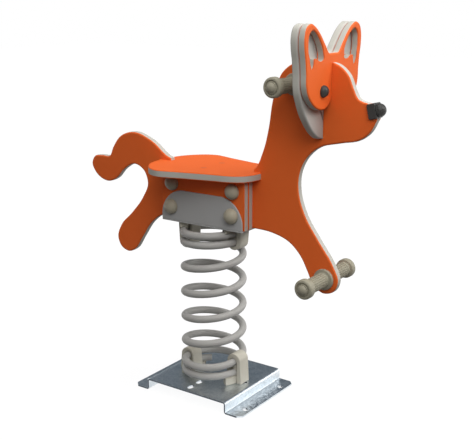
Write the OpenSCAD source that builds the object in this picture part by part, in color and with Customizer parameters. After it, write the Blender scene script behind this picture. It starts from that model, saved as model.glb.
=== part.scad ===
// Spring rider: an animal figure cut from flat three-layer sheet, carried by one large coil spring.
// Millimetres. +X points to the head and +Z up. The origin is on the ground, on the coil's axis.

/* [Base plate] */
// Length along the bends
base_length = 250; // [230:1:320]
// Width of the raised top, outside the webs
base_width = 250; // [240:1:320]
// Height of the raised top above the ground
base_height = 31; // [26:1:60]
// Thickness of the galvanised sheet
base_sheet = 4; // [3:0.5:6]
// Outside radius of the bends
base_bend_r = 7; // [6.5:0.5:10]
// Width of each foot flange
base_flange = 46; // [40:1:80]
// Size of the cut corners of the flanges
base_corner = 12; // [4:1:20]
// Diameter of the ground bolt holes
ground_hole_d = 14; // [10:1:18]
// Ground bolt hole to the outer edge of its flange
ground_hole_inset = 16; // [12:1:24]
// Ground bolt hole to the end of its flange
ground_hole_end = 44; // [25:1:70]
// Width of the clamp slots in the top
slot_width = 10; // [8:0.5:14]
// Length of the clamp slots in the top
slot_length = 18; // [14:1:24]
// Width of the spare slots at the sides of the top
spare_slot_width = 13; // [9:0.5:16]
// Length of the spare slots at the sides of the top
spare_slot_length = 22; // [17:1:26]
// Middle of the outer spare slot to the end of the plate
spare_slot_end = 24; // [18:1:30]
// Distance between the spare slots of a pair
spare_slot_pitch = 36; // [32:1:44]

/* [Spring] */
// Wire diameter
wire_d = 19; // [16:0.5:21]
// Mean radius of the coil
coil_r = 75.5; // [65:0.5:90]
// Height of the wire's centre at its lower end, above the base plate
coil_lift = 14.2; // [13:0.1:20]
// Rise per turn of the closed end turns
dead_pitch = 23.6; // [23:0.1:30]
// Rise per turn of the open turns
active_pitch = 66.6; // [50:0.1:80]
// Closed turns at the lower end
lower_dead_turns = 1.47; // [1.2:0.01:1.6]
// Open turns between the closed ends
active_turns = 4.81; // [3.5:0.01:6]
// Closed turns at the upper end
upper_dead_turns = 1.42; // [1.2:0.01:1.6]
// Compass angle of the wire's lower end
coil_start_deg = 132; // [100:1:145]

/* [Clamps] */
// Wall of the arches beside the wire, at their seat
clamp_wall = 13.2; // [12:0.2:16]
// Wall of the arches over the wire, at their round crown
crown_wall = 10; // [8:0.2:11.5]
// Depth of the arches along the wire
clamp_depth = 38; // [30:1:46]
// Half of the angle that the pads reach round the coil
pad_half_deg = 34; // [25:1:40]
// Diameter of the clamp bolts
clamp_bolt_d = 6; // [5:0.5:7]
// Length of the clamp bolts inside the arches
clamp_bolt_grip = 24; // [15:1:30]

/* [Saddle bracket] */
// Length of the bracket
saddle_length = 248; // [230:1:300]
// Height of the side plates
saddle_height = 79; // [70:1:100]
// Upper corner radius of the side plates
saddle_corner_r = 68; // [20:1:69]
// Thickness of the side plates
saddle_plate = 5; // [3:0.5:8]
// Thickness of the web under the panels
web_sheet = 4; // [3.5:0.5:8]

/* [Panels] */
// Thickness of the three-layer sheet
panel_t = 19; // [15:0.5:22]
// Side panels beyond each end of the saddle bracket
side_overhang = 3; // [0:0.5:10]
// Height of the side panels
side_height = 123; // [115:1:150]
// Upper corner radius of the side panels
side_corner_r = 11; // [2:1:20]
// Side of the square that the body's outline is drawn in
body_size = 1000; // [920:1:1100]

/* [Seat] */
// Length of the seat board
seat_length = 310; // [290:1:360]
// Width of the seat board at its widest
seat_width = 252; // [220:1:300]
// Coil axis to the front edge of the seat board
seat_front = 150; // [140:1:180]
// Diameter of the seat screws
seat_screw_d = 8; // [6:1:10]
// Length of the seat screws
seat_screw_l = 60; // [40:1:80]

/* [Face] */
// Side of the square that the face's outlines are drawn in
face_size = 250; // [230:1:280]
// Distance between the eyes
eye_spacing = 94; // [80:1:110]
// Eyes below the top of the slot in the face
eye_drop = 30; // [20:1:40]
// Diameter of the eye caps
eye_cap_d = 27; // [25:1:34]
// Height of the eye caps
eye_cap_h = 13; // [12:0.5:18]
// Diameter of the eye bolts
eye_bolt_d = 8; // [6:1:8]

/* [Nose] */
// Length of the nose block
nose_length = 20; // [14:1:24]
// Width of the nose block
nose_width = 33; // [28:1:40]
// Height of the nose block
nose_height = 34; // [28:1:40]
// Corner radius of the nose block
nose_corner_r = 4.5; // [2:0.5:8]
// Upward tilt of the nose block
nose_tilt_deg = 13; // [0:1:20]
// Diameter of the dome on the nose
nose_dome_d = 30; // [23:1:32]
// Height of the dome on the nose
nose_dome_h = 17; // [12:0.5:19]
// Diameter of the nose screw
nose_screw_d = 6; // [4:1:6]

/* [Grips] */
// Diameter of the ribbed shaft
grip_d = 33; // [28:1:38]
// Length of a grip, from the panel to its end
grip_length = 98; // [85:1:130]
// Diameter of the flange on the panel
grip_flange_d = 51; // [44:1:54]
// Thickness of the flange on the panel
grip_flange_t = 7; // [5:0.5:10]
// Diameter of the end knob
grip_knob_d = 47; // [42:1:52]
// Length of the end knob
grip_knob_l = 19; // [15:1:24]
// Number of ribs on the shaft
grip_ribs = 9; // [4:1:12]
// Height of the ribs
grip_rib_h = 0.9; // [0.4:0.1:1.5]
// Diameter of the through rods
rod_d = 12; // [10:1:12]

/* [Stack fasteners] */
// Diameter of the rods through the panels
stack_rod_d = 10; // [8:1:12]
// Rods to the ends of the side panels
stack_rod_inset = 34; // [25:1:45]
// Upper rods below the top of the side panels
upper_rod_drop = 28; // [22:1:32]
// Lower rods above the bottom of the side panels
lower_rod_rise = 35; // [28:1:42]
// Diameter of the dome caps
cap_d = 39; // [35:1:44]
// Height of the dome caps
cap_h = 18; // [17:0.5:24]

/* [Hidden] */

// Fineness of round faces, of the outlines' curves and of the sheet bends
$fn = 48;
curve_steps = 5;
bend_steps = 6;

// Overrun of every cut, and the clearances of the fits
cut = 2;
wire_clear = 0.6;
hole_clear = 0.25;
panel_clear = 0.3;

// Hexagon heads and nuts, countersunk heads and washers, as shares of the thread's diameter
hex_across_share = 1.65;
hex_height_share = 0.75;
csk_width_share = 2;
csk_depth_share = 0.55;
washer_width_share = 2.8;
washer_t = 2.5;
rod_stick_out = 2;
cap_wall = 2.5;
cap_skirt = 4;

// The coil: wire centre height, and its slope, after t turns from the lower end
wire_r = wire_d / 2;
coil_turns = lower_dead_turns + active_turns + upper_dead_turns;
coil_foot_z = base_height + coil_lift;
pitch_blend_turns = 0.2;
coil_rings_per_turn = 30;
coil_sides = 8;
coil_web_gap = 2.8;
open_from = lower_dead_turns;
open_to = lower_dead_turns + active_turns;
function ramp(x, w) = x <= -w / 2 ? 0 : x >= w / 2 ? x : pow(x + w / 2, 2) / (2 * w);
function ramp_rate(x, w) = x <= -w / 2 ? 0 : x >= w / 2 ? 1 : (x + w / 2) / w;
function coil_z(t) = coil_foot_z + dead_pitch * t + (active_pitch - dead_pitch)
    * (ramp(t - open_from, pitch_blend_turns) - ramp(t - open_to, pitch_blend_turns));
function coil_pitch(t) = dead_pitch + (active_pitch - dead_pitch)
    * (ramp_rate(t - open_from, pitch_blend_turns) - ramp_rate(t - open_to, pitch_blend_turns));
function coil_slope(t) = atan2(coil_pitch(t), 2 * PI * coil_r);
function coil_angle(t) = coil_start_deg + 360 * t;
function coil_point(t) = [coil_r * cos(coil_angle(t)), coil_r * sin(coil_angle(t)), coil_z(t)];

// First and last turn count at which the wire passes a compass angle
function first_pass(angle) = ((angle - coil_start_deg + 720) % 360) / 360;
function last_pass(angle) = first_pass(angle) + floor(coil_turns - first_pass(angle));
front_deg = 0;
rear_deg = 180;

// Levels of the carried parts, which follow the top of the coil
web_z = coil_z(coil_turns) + wire_r + coil_web_gap;
stack_z = web_z + web_sheet;
seat_z = stack_z + side_height;

// Clamp arches and pads
arch_half = wire_r + wire_clear + clamp_wall;
crown_r = wire_r + wire_clear + crown_wall;
clamp_bolt_out = wire_r + wire_clear + clamp_wall / 2;
slot_ease = 0.4;
pad_lip_share = 0.6;
thin_pad_ahead_deg = 14;
spacer_half_deg = 12;
spacer_inset_share = 0.2;
spacer_width_share = 0.8;

// Sheet stack, from the middle outwards
half_t = panel_t / 2;
inner_face = half_t;
outer_face = inner_face + panel_t;
stack_face = outer_face + panel_t;
saddle_face = stack_face + saddle_plate;
side_length = saddle_length + 2 * side_overhang;
stack_rod_x = side_length / 2 - stack_rod_inset;
upper_rod_z = seat_z - upper_rod_drop;
lower_rod_z = stack_z + lower_rod_rise;
saddle_notch_gap = 1;
notch_half = side_length / 2 + saddle_notch_gap;

// Body outline as shares of body_size, from the coil's axis and from the bottom of the stack:
// tail, rear leg, belly, front leg, chest, chin, muzzle, forehead, neck and saddle
body_shares = [
    [-0.129, 0.148], [-0.195, 0.189], [-0.251, 0.205], [-0.301, 0.190], [-0.3295, 0.1565],
    [-0.342, 0.133], [-0.372, 0.1315], [-0.398, 0.126], [-0.4085, 0.107], [-0.393, 0.0775],
    [-0.351, 0.061], [-0.320, 0.0725], [-0.290, 0.1015], [-0.252, 0.119], [-0.221, 0.104],
    [-0.2095, 0.073], [-0.227, 0.034], [-0.269, -0.016], [-0.309, -0.056], [-0.322, -0.091],
    [-0.309, -0.118], [-0.283, -0.127], [-0.259, -0.116], [-0.231, -0.078], [-0.195, -0.030],
    [-0.164, -0.008], [-0.127, 0], [-0.100, 0], [0.100, 0], [0.127, 0],
    [0.181, -0.003], [0.230, -0.019], [0.261, -0.047], [0.2825, -0.084], [0.298, -0.113],
    [0.3265, -0.129], [0.3545, -0.119], [0.3655, -0.092], [0.3535, -0.061], [0.311, -0.002],
    [0.273, 0.054], [0.256, 0.102], [0.2555, 0.148], [0.275, 0.190], [0.304, 0.2155],
    [0.360, 0.2315], [0.411, 0.244], [0.4335, 0.262], [0.4465, 0.286], [0.4505, 0.303],
    [0.4445, 0.318], [0.426, 0.325], [0.4025, 0.3345], [0.3905, 0.3555], [0.377, 0.384],
    [0.351, 0.406], [0.310, 0.411], [0.260, 0.410], [0.228, 0.401], [0.203, 0.380],
    [0.1885, 0.347], [0.179, 0.315], [0.1685, 0.250], [0.153, 0.193], [0.128, 0.147],
    [0.060, 0.150], [-0.060, 0.150]];
hand_place_shares = [0.240, 0.357];
foot_place_shares = [0.329, -0.092];
face_place_shares = [0.317, 0.380];
nose_place_shares = [0.4385, 0.310];
function body_point(share) = [share[0] * body_size, stack_z + share[1] * body_size];
hand_place = body_point(hand_place_shares);
foot_place = body_point(foot_place_shares);
face_place = body_point(face_place_shares);
nose_place = body_point(nose_place_shares);

// Seat outline as shares of its length, from the front edge, and of half its width
seat_shares = [
    [0, 0.12], [0.008, 0.30], [0.032, 0.45], [0.085, 0.58], [0.16, 0.66], [0.29, 0.72], [0.42, 0.80],
    [0.55, 0.88], [0.66, 0.965], [0.74, 1], [0.82, 0.935], [0.91, 0.74], [0.97, 0.50], [1, 0.16]];
seat_screw_y = outer_face + half_t;

// Face outlines as shares of face_size, from the middle and from the top of the slot
ear_shares = [
    [0.04, 0.204], [0.075, 0.204], [0.144, 0.272], [0.256, 0.388], [0.33, 0.44], [0.40, 0.464],
    [0.472, 0.436], [0.506, 0.36], [0.506, 0.26], [0.484, 0.152], [0.47, 0.04]];
front_cheek_shares = [
    [0.466, -0.056], [0.44, -0.132], [0.384, -0.20], [0.304, -0.256], [0.208, -0.284], [0.128, -0.28],
    [0.064, -0.24], [0.036, -0.16]];
back_cheek_shares = [
    [0.46, -0.12], [0.412, -0.232], [0.356, -0.328], [0.276, -0.424], [0.18, -0.512], [0.10, -0.556],
    [0.04, -0.564]];
ear_hole_shares = [
    [0.376, 0.404], [0.428, 0.368], [0.442, 0.28], [0.432, 0.192], [0.412, 0.12], [0.38, 0.076],
    [0.354, 0.112], [0.34, 0.168], [0.304, 0.164], [0.264, 0.144], [0.216, 0.14], [0.178, 0.156],
    [0.184, 0.204], [0.248, 0.312], [0.312, 0.376]];
face_front_x = face_place[0] + panel_t;
face_back_x = face_place[0] - panel_t;
eye_z = face_place[1] - eye_drop;

// Angle brackets between the face and the body
bracket_sheet = 3;
bracket_leg = 26;
bracket_reach = 52;
bracket_height = 30;
bracket_bolt_x = face_back_x - bracket_leg / 2;

// Nose block, its slot and its screw
nose_wall = 6;
nose_dome_rise = -0.5;
nose_screw_grip = 30;

// Grips: edge rounding, end groove, nut recess and end caps
grip_round = 3;
grip_neck = 4;
grip_groove_w = 1.6;
grip_groove_depth = 1.2;
grip_groove_gap = 2.5;
nut_recess_gap = 0.6;
grip_nut_depth = 11;
grip_cap_lap = 1.6;
grip_cap_h = 5;
grip_cap_wall = 2;
rod_nut_r = rod_d * hex_across_share / 2 / cos(30);
nut_recess_r = rod_nut_r + nut_recess_gap;
grip_cap_r = nut_recess_r + grip_cap_lap;

// Colours
orange = [0.90, 0.36, 0.13];
sheet_grey = [0.66, 0.65, 0.62];
moulded_beige = [0.70, 0.68, 0.61];
cap_grey = [0.47, 0.46, 0.42];
dark_grey = [0.20, 0.20, 0.20];
coated_grey = [0.60, 0.59, 0.56];
plate_grey = [0.44, 0.44, 0.43];
zinc = [0.60, 0.66, 0.71];
steel = [0.75, 0.75, 0.76];

// A smooth curve through points: slopes from the neighbours, weighted by their distances
function slope_at(a, b, c) = let (d0 = norm(b - a), d1 = norm(c - b))
    ((b - a) * d1 / d0 + (c - b) * d0 / d1) / (d0 + d1);
function blend_at(p, q, mp, mq, u) = let (d = norm(q - p), u2 = u * u, u3 = u2 * u)
    (2 * u3 - 3 * u2 + 1) * p + (u3 - 2 * u2 + u) * d * mp + (3 * u2 - 2 * u3) * q + (u3 - u2) * d * mq;
function closed_curve(pts) = let (n = len(pts))
    [for (i = [0 : n - 1], k = [0 : curve_steps - 1])
        let (a = pts[(i + n - 1) % n], b = pts[i], c = pts[(i + 1) % n], d = pts[(i + 2) % n])
        blend_at(b, c, slope_at(a, b, c), slope_at(b, c, d), k / curve_steps)];
function open_curve(pts) = let (n = len(pts))
    [for (i = [0 : n - 2], k = [0 : i == n - 2 ? curve_steps : curve_steps - 1])
        let (b = pts[i], c = pts[i + 1], straight = (c - b) / norm(c - b),
             mb = i == 0 ? straight : slope_at(pts[i - 1], b, c),
             mc = i == n - 2 ? straight : slope_at(b, c, pts[i + 2]))
        blend_at(b, c, mb, mc, k / curve_steps)];
function reversed(pts) = [for (i = [len(pts) - 1 : -1 : 0]) pts[i]];
function mirrored_pair(pts) = concat(pts, reversed([for (p = pts) [-p[0], p[1]]]));
function arc(centre, r, from_deg, to_deg) = [for (i = [0 : bend_steps])
    let (a = from_deg + (to_deg - from_deg) * i / bend_steps) centre + r * [cos(a), sin(a)]];

// Shared shapes
module along_y(length) {
    rotate([90, 0, 0]) linear_extrude(length, center = true) children();
}

module along_x(length) {
    rotate([90, 0, 90]) linear_extrude(length) children();
}

module y_rod(r, length, place) {
    translate([place[0], 0, place[1]]) rotate([90, 0, 0]) cylinder(r = r, h = length, center = true);
}

module slot_cut(centre, radial_length, width, depth) {
    half = (radial_length - width) / 2;
    translate([centre, 0, 0]) {
        for (side = [-1, 1]) translate([side * half, 0, 0]) cylinder(d = width, h = depth);
        translate([-half, -width / 2, 0]) cube([2 * half, width, depth]);
    }
}

module hexagon(d, height) {
    cylinder(r = d * hex_across_share / 2 / cos(30), h = height, $fn = 6);
}

module hex_nut(d, height) {
    difference() {
        hexagon(d, height);
        translate([0, 0, -cut]) cylinder(d = d + 2 * hole_clear, h = height + 2 * cut);
    }
}

module round_cap(r, rise) {
    ball = (r * r + rise * rise) / (2 * rise);
    intersection() {
        translate([0, 0, rise - ball]) sphere(r = ball);
        cylinder(r = ball, h = rise);
    }
}

module dome(r, height, skirt) {
    cylinder(r = r, h = skirt);
    translate([0, 0, skirt]) round_cap(r, height - skirt);
}

module hollow_dome(r, height, skirt, wall) {
    difference() {
        dome(r, height, skirt);
        translate([0, 0, -cut]) cylinder(r = r - wall, h = skirt + cut);
        translate([0, 0, skirt]) round_cap(r - wall, height - skirt - wall);
    }
}

// Base plate
base_half = base_width / 2;
base_inner_r = base_bend_r - base_sheet;
base_top_bend = [base_half - base_bend_r, base_height - base_bend_r];
base_foot_bend = [base_half + base_inner_r, base_bend_r];
base_reach = base_half + base_flange;
hat_half = concat(
    arc(base_top_bend, base_bend_r, 90, 0),
    arc(base_foot_bend, base_inner_r, 180, 270),
    [[base_reach, base_sheet], [base_reach, 0]],
    arc(base_foot_bend, base_bend_r, 270, 180),
    arc(base_top_bend, base_inner_r, 0, 90));
base_plan = let (x = base_reach, y = base_length / 2, c = base_corner)
    [[x - c, -y], [x, c - y], [x, y - c], [x - c, y], [c - x, y], [-x, y - c], [-x, c - y], [c - x, -y]];
ground_hole_x = base_reach - ground_hole_inset;
ground_hole_y = base_length / 2 - ground_hole_end;
spare_slot_y = base_length / 2 - spare_slot_end;

module base_plate() {
    color(zinc) difference() {
        intersection() {
            along_y(base_length + cut) polygon(mirrored_pair(hat_half));
            linear_extrude(base_height + cut) polygon(base_plan);
        }
        for (x = [-1, 1], y = [-1, 1]) translate([x * ground_hole_x, y * ground_hole_y, -cut])
            cylinder(d = ground_hole_d, h = base_sheet + 2 * cut);
        translate([0, 0, base_height - base_sheet - cut]) {
            for (turn = [-90, 90]) rotate([0, 0, turn]) {
                slot_cut(spare_slot_y, spare_slot_length, spare_slot_width, base_sheet + 2 * cut);
                slot_cut(spare_slot_y - spare_slot_pitch, spare_slot_length, spare_slot_width,
                         base_sheet + 2 * cut);
            }
            for (turn = [front_deg, rear_deg]) rotate([0, 0, turn]) {
                translate([coil_r - clamp_bolt_out, 0, 0])
                    cylinder(d = clamp_bolt_d + 2 * hole_clear, h = base_sheet + 2 * cut);
                slot_cut(coil_r + clamp_bolt_out + (slot_length - slot_width) / 2, slot_length, slot_width,
                         base_sheet + 2 * cut);
            }
        }
    }
}

// Coil spring: one tube swept along the wire, with its least gap to itself measured on its rings
coil_rings = ceil(coil_turns * coil_rings_per_turn);
coil_ts = [for (i = [0 : coil_rings]) coil_turns * i / coil_rings];
function coil_ring(t) = let (a = coil_angle(t), s = coil_slope(t), out = [cos(a), sin(a), 0],
                             up = [sin(a) * sin(s), -cos(a) * sin(s), cos(s)])
    [for (k = [0 : coil_sides - 1])
        coil_point(t) + wire_r * (cos(360 * k / coil_sides) * out + sin(360 * k / coil_sides) * up)];
coil_points = [for (t = coil_ts) each coil_ring(t)];
coil_walls = [for (i = [0 : coil_rings - 1], k = [0 : coil_sides - 1])
    let (a = i * coil_sides + k, b = i * coil_sides + (k + 1) % coil_sides)
    each [[a, b, b + coil_sides], [a, b + coil_sides, a + coil_sides]]];
coil_last = coil_rings * coil_sides;
coil_ends = [for (k = [1 : coil_sides - 2])
    each [[0, k + 1, k], [coil_last, coil_last + k, coil_last + k + 1]]];
coil_gap = min([for (i = [0 : coil_rings], j = [i + ceil(coil_rings_per_turn / 2) : 1 : coil_rings])
    norm(coil_point(coil_ts[i]) - coil_point(coil_ts[j]))]) - wire_d;
echo(least_gap_of_the_coil_to_itself = coil_gap);

module coil_spring() {
    color(coated_grey) polyhedron(coil_points, concat(coil_walls, coil_ends));
}

// Everything that is cut or turned about the wire where it passes a clamp
module at_pass(turn, t) {
    translate([0, 0, coil_z(t)]) rotate([0, 0, turn]) rotate([coil_slope(t), 0, 0]) children();
}

// Room for the wire where it passes a clamp: a ring tilted to the wire's slope
module wire_room(turn, t) {
    at_pass(turn, t) rotate_extrude() translate([coil_r, 0]) circle(r = wire_r + wire_clear);
}

// Pad between a seat and the nearest pass of the wire: a sector that lies along the wire, cut level
module coil_pad(turn, seat, t, ahead_deg) {
    upwards = seat < coil_z(t);
    height = abs(coil_z(t) - seat) + clamp_depth;
    lip = wire_r * pad_lip_share;
    color(moulded_beige) difference() {
        intersection() {
            at_pass(turn, t) rotate([0, 0, -pad_half_deg]) rotate_extrude(angle = pad_half_deg + ahead_deg)
                translate([coil_r - wire_r, upwards ? -height : lip]) square([wire_d, height - lip]);
            translate([-2 * coil_r, -2 * coil_r, upwards ? seat : seat - height])
                cube([4 * coil_r, 4 * coil_r, height]);
        }
        wire_room(turn, t);
    }
}

// Spacer between two passes of the wire
module coil_spacer(turn, t) {
    inset = wire_r * spacer_inset_share;
    half_width = wire_r * spacer_width_share;
    color(moulded_beige) difference() {
        rotate([0, 0, turn - spacer_half_deg]) rotate_extrude(angle = 2 * spacer_half_deg)
            translate([coil_r - half_width, coil_z(t) + inset])
                square([2 * half_width, coil_z(t + 1) - coil_z(t) - 2 * inset]);
        wire_room(turn, t);
        wire_room(turn, t + 1);
    }
}

// Where a leg that leans in from its foot touches the round crown
function lean_point(foot, centre, way) = let (d = foot - centre,
    a = atan2(d[1], d[0]) + way * acos(crown_r / norm(d))) centre + crown_r * [cos(a), sin(a)];

// Arch that straddles two passes of the wire and stands on a seat, with legs that lean in
module coil_arch(turn, seat, t) {
    upwards = seat < coil_z(t);
    crown_t = upwards ? t + 1 : t;
    crown = coil_z(crown_t);
    foot = [arch_half, seat];
    lean = lean_point(foot, [0, crown], upwards ? 1 : -1);
    slot_half = wire_r + wire_clear + slot_ease;
    hole_low = upwards ? seat - cut : seat - clamp_bolt_grip - cut;
    color(moulded_beige) difference() {
        rotate([0, 0, turn]) translate([coil_r, 0, 0]) {
            along_y(clamp_depth) polygon([foot, lean, [-lean[0], lean[1]], [-foot[0], foot[1]]]);
            y_rod(crown_r, clamp_depth, [0, crown]);
        }
        rotate([0, 0, turn]) rotate_extrude() translate([coil_r - slot_half, upwards ? seat - cut : crown])
            square([2 * slot_half, abs(crown - seat) + cut]);
        wire_room(turn, crown_t);
        rotate([0, 0, turn]) for (side = [-1, 1])
            translate([coil_r + side * clamp_bolt_out, 0, hole_low])
                cylinder(d = clamp_bolt_d + 2 * hole_clear, h = clamp_bolt_grip + 2 * cut);
    }
}

module at_clamp_bolts() {
    for (turn = [front_deg, rear_deg], side = [-1, 1])
        rotate([0, 0, turn]) translate([coil_r + side * clamp_bolt_out, 0, 0]) children();
}

lower_head_h = clamp_bolt_d * hex_height_share;
csk_depth = clamp_bolt_d * csk_depth_share;

module lower_front_pad() { coil_pad(front_deg, base_height, first_pass(front_deg), pad_half_deg); }
module lower_front_spacer() { coil_spacer(front_deg, first_pass(front_deg)); }
module lower_front_arch() { coil_arch(front_deg, base_height, first_pass(front_deg)); }
module lower_rear_pad() { coil_pad(rear_deg, base_height, first_pass(rear_deg), pad_half_deg); }
module lower_rear_spacer() { coil_spacer(rear_deg, first_pass(rear_deg)); }
module lower_rear_arch() { coil_arch(rear_deg, base_height, first_pass(rear_deg)); }
module upper_front_pad() { coil_pad(front_deg, web_z, last_pass(front_deg), thin_pad_ahead_deg); }
module upper_front_spacer() { coil_spacer(front_deg, last_pass(front_deg) - 1); }
module upper_front_arch() { coil_arch(front_deg, web_z, last_pass(front_deg) - 1); }
module upper_rear_pad() { coil_pad(rear_deg, web_z, last_pass(rear_deg), pad_half_deg); }
module upper_rear_spacer() { coil_spacer(rear_deg, last_pass(rear_deg) - 1); }
module upper_rear_arch() { coil_arch(rear_deg, web_z, last_pass(rear_deg) - 1); }

module lower_clamp_bolts() {
    color(steel) at_clamp_bolts() translate([0, 0, base_height - base_sheet]) {
        translate([0, 0, -lower_head_h]) hexagon(clamp_bolt_d, lower_head_h);
        cylinder(d = clamp_bolt_d, h = base_sheet + clamp_bolt_grip);
    }
}

module csk_screw(d, length) {
    depth = d * csk_depth_share;
    translate([0, 0, -depth]) cylinder(d1 = d, d2 = d * csk_width_share, h = depth);
    translate([0, 0, -length]) cylinder(d = d, h = length - depth);
}

// Countersunk hole, opened beyond the surface by the overrun
module csk_hole(d, length) {
    depth = d * csk_depth_share;
    rim = d * csk_width_share + 2 * hole_clear;
    translate([0, 0, -depth - hole_clear]) cylinder(d1 = d + 2 * hole_clear, d2 = rim, h = depth + hole_clear);
    cylinder(d = rim, h = cut);
    translate([0, 0, -length]) cylinder(d = d + 2 * hole_clear, h = length);
}

module upper_clamp_screws() {
    color(steel) at_clamp_bolts() translate([0, 0, stack_z])
        csk_screw(clamp_bolt_d, web_sheet + clamp_bolt_grip);
}

// Saddle bracket
module saddle_web() {
    color(plate_grey) difference() {
        translate([-saddle_length / 2, -saddle_face, web_z]) cube([saddle_length, 2 * saddle_face, web_sheet]);
        at_clamp_bolts() translate([0, 0, stack_z]) csk_hole(clamp_bolt_d, web_sheet + cut);
    }
}

module saddle_outline() {
    half = saddle_length / 2;
    corner = [half - saddle_corner_r, stack_z + saddle_height - saddle_corner_r];
    translate([-half, stack_z]) square([saddle_length, saddle_height - saddle_corner_r]);
    translate([-corner[0], stack_z]) square([2 * corner[0], saddle_height]);
    intersection() {
        for (side = [-1, 1]) translate([side * corner[0], corner[1]]) circle(r = saddle_corner_r);
        translate([-half, stack_z]) square([saddle_length, saddle_height]);
    }
}

module saddle_plate_at(side) {
    color(plate_grey) difference() {
        translate([0, side * (stack_face + saddle_plate / 2), 0]) along_y(saddle_plate) saddle_outline();
        for (end = [-1, 1])
            y_rod(stack_rod_d / 2 + hole_clear, 2 * (saddle_face + cut), [end * stack_rod_x, lower_rod_z]);
    }
}

module saddle_plate_left() { saddle_plate_at(1); }
module saddle_plate_right() { saddle_plate_at(-1); }

// Panels
module rod_holes() {
    for (end = [-1, 1], z = [upper_rod_z, lower_rod_z])
        y_rod(stack_rod_d / 2 + hole_clear, 2 * (saddle_face + cut), [end * stack_rod_x, z]);
}

module at_nose() {
    translate([nose_place[0], 0, nose_place[1]]) rotate([0, -nose_tilt_deg, 0]) children();
}

module nose_room() {
    tongue = nose_length / 2 - nose_wall - panel_clear;
    at_nose() {
        translate([tongue, -panel_t, -nose_height / 2 - panel_clear])
            cube([2 * nose_length, 2 * panel_t, 2 * nose_height]);
        translate([-nose_screw_grip, 0, nose_dome_rise]) rotate([0, 90, 0])
            cylinder(d = nose_screw_d + 2 * hole_clear, h = 2 * nose_screw_grip);
    }
}

module body_panel() {
    color(orange) difference() {
        along_y(panel_t) polygon(closed_curve([for (s = body_shares) body_point(s)]));
        translate([-notch_half, -panel_t, seat_z]) cube([2 * notch_half, 2 * panel_t, side_height]);
        translate([face_back_x - panel_clear, -panel_t, face_place[1]])
            cube([2 * (panel_t + panel_clear), 2 * panel_t, face_size]);
        rod_holes();
        y_rod(rod_d / 2 + hole_clear, 2 * panel_t, hand_place);
        y_rod(rod_d / 2 + hole_clear, 2 * panel_t, foot_place);
        y_rod(eye_bolt_d / 2 + hole_clear, 2 * panel_t, [bracket_bolt_x, eye_z]);
        nose_room();
    }
}

module side_outline() {
    half = side_length / 2;
    corner = [half - side_corner_r, seat_z - side_corner_r];
    translate([-half, stack_z]) square([side_length, side_height - side_corner_r]);
    translate([-corner[0], stack_z]) square([2 * corner[0], side_height]);
    for (end = [-1, 1]) translate([end * corner[0], corner[1]]) circle(r = side_corner_r);
}

module side_panel_at(y) {
    color(orange) difference() {
        translate([0, y, 0]) along_y(panel_t) side_outline();
        rod_holes();
        for (side = [-1, 1]) translate([0, side * seat_screw_y, seat_z + panel_t])
            csk_hole(seat_screw_d, seat_screw_l + hole_clear);
    }
}

module inner_side_left() { side_panel_at(inner_face + half_t); }
module inner_side_right() { side_panel_at(-inner_face - half_t); }
module outer_side_left() { side_panel_at(outer_face + half_t); }
module outer_side_right() { side_panel_at(-outer_face - half_t); }

module seat_board() {
    outline = mirrored_pair(open_curve([for (s = seat_shares) [s[1] * seat_width / 2, -s[0] * seat_length]]));
    slot_half = half_t + panel_clear;
    slot_end = notch_half - panel_clear;
    color(orange) difference() {
        translate([seat_front, 0, seat_z]) rotate([0, 0, -90]) linear_extrude(panel_t) polygon(outline);
        for (side = [-1, 1]) translate([0, side * seat_screw_y, seat_z + panel_t])
            csk_hole(seat_screw_d, panel_t + cut);
        translate([slot_end, -slot_half, seat_z - cut]) cube([seat_length, 2 * slot_half, panel_t + 2 * cut]);
        translate([-slot_end - seat_length, -slot_half, seat_z - cut])
            cube([seat_length, 2 * slot_half, panel_t + 2 * cut]);
    }
}

module seat_screws() {
    color(orange) for (side = [-1, 1]) translate([0, side * seat_screw_y, seat_z + panel_t])
        csk_screw(seat_screw_d, seat_screw_l);
}

// Rods through the stack, with a washer and a nut under each dome cap
module at_rod_ends(z, face) {
    for (end = [-1, 1], side = [0, 1])
        mirror([0, side, 0]) translate([end * stack_rod_x, face, z]) rotate([-90, 0, 0]) children();
}

stack_nut_h = stack_rod_d * hex_height_share;
stack_rod_end = washer_t + stack_nut_h + rod_stick_out;

module stack_rods(z, face) {
    color(steel) for (end = [-1, 1]) y_rod(stack_rod_d / 2, 2 * (face + stack_rod_end), [end * stack_rod_x, z]);
}

module upper_stack_rods() { stack_rods(upper_rod_z, stack_face); }
module lower_stack_rods() { stack_rods(lower_rod_z, saddle_face); }

module at_all_rod_ends() {
    at_rod_ends(upper_rod_z, stack_face) children();
    at_rod_ends(lower_rod_z, saddle_face) children();
}

module stack_washers() {
    color(steel) at_all_rod_ends() difference() {
        cylinder(d = stack_rod_d * washer_width_share, h = washer_t);
        translate([0, 0, -cut]) cylinder(d = stack_rod_d + 2 * hole_clear, h = washer_t + 2 * cut);
    }
}

module stack_nuts() {
    color(steel) at_all_rod_ends() translate([0, 0, washer_t]) hex_nut(stack_rod_d, stack_nut_h);
}

module upper_bolt_caps() {
    color(cap_grey) at_rod_ends(upper_rod_z, stack_face) hollow_dome(cap_d / 2, cap_h, cap_skirt, cap_wall);
}

module lower_bolt_caps() {
    color(cap_grey) at_rod_ends(lower_rod_z, saddle_face) hollow_dome(cap_d / 2, cap_h, cap_skirt, cap_wall);
}

// Face: two crossed layers that drop into the body's slot
function face_points(shares) = [for (s = shares) [s[0] * face_size, face_place[1] + s[1] * face_size]];

module at_eyes() {
    for (side = [-1, 1]) translate([0, side * eye_spacing / 2, eye_z]) rotate([0, 90, 0]) children();
}

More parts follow.
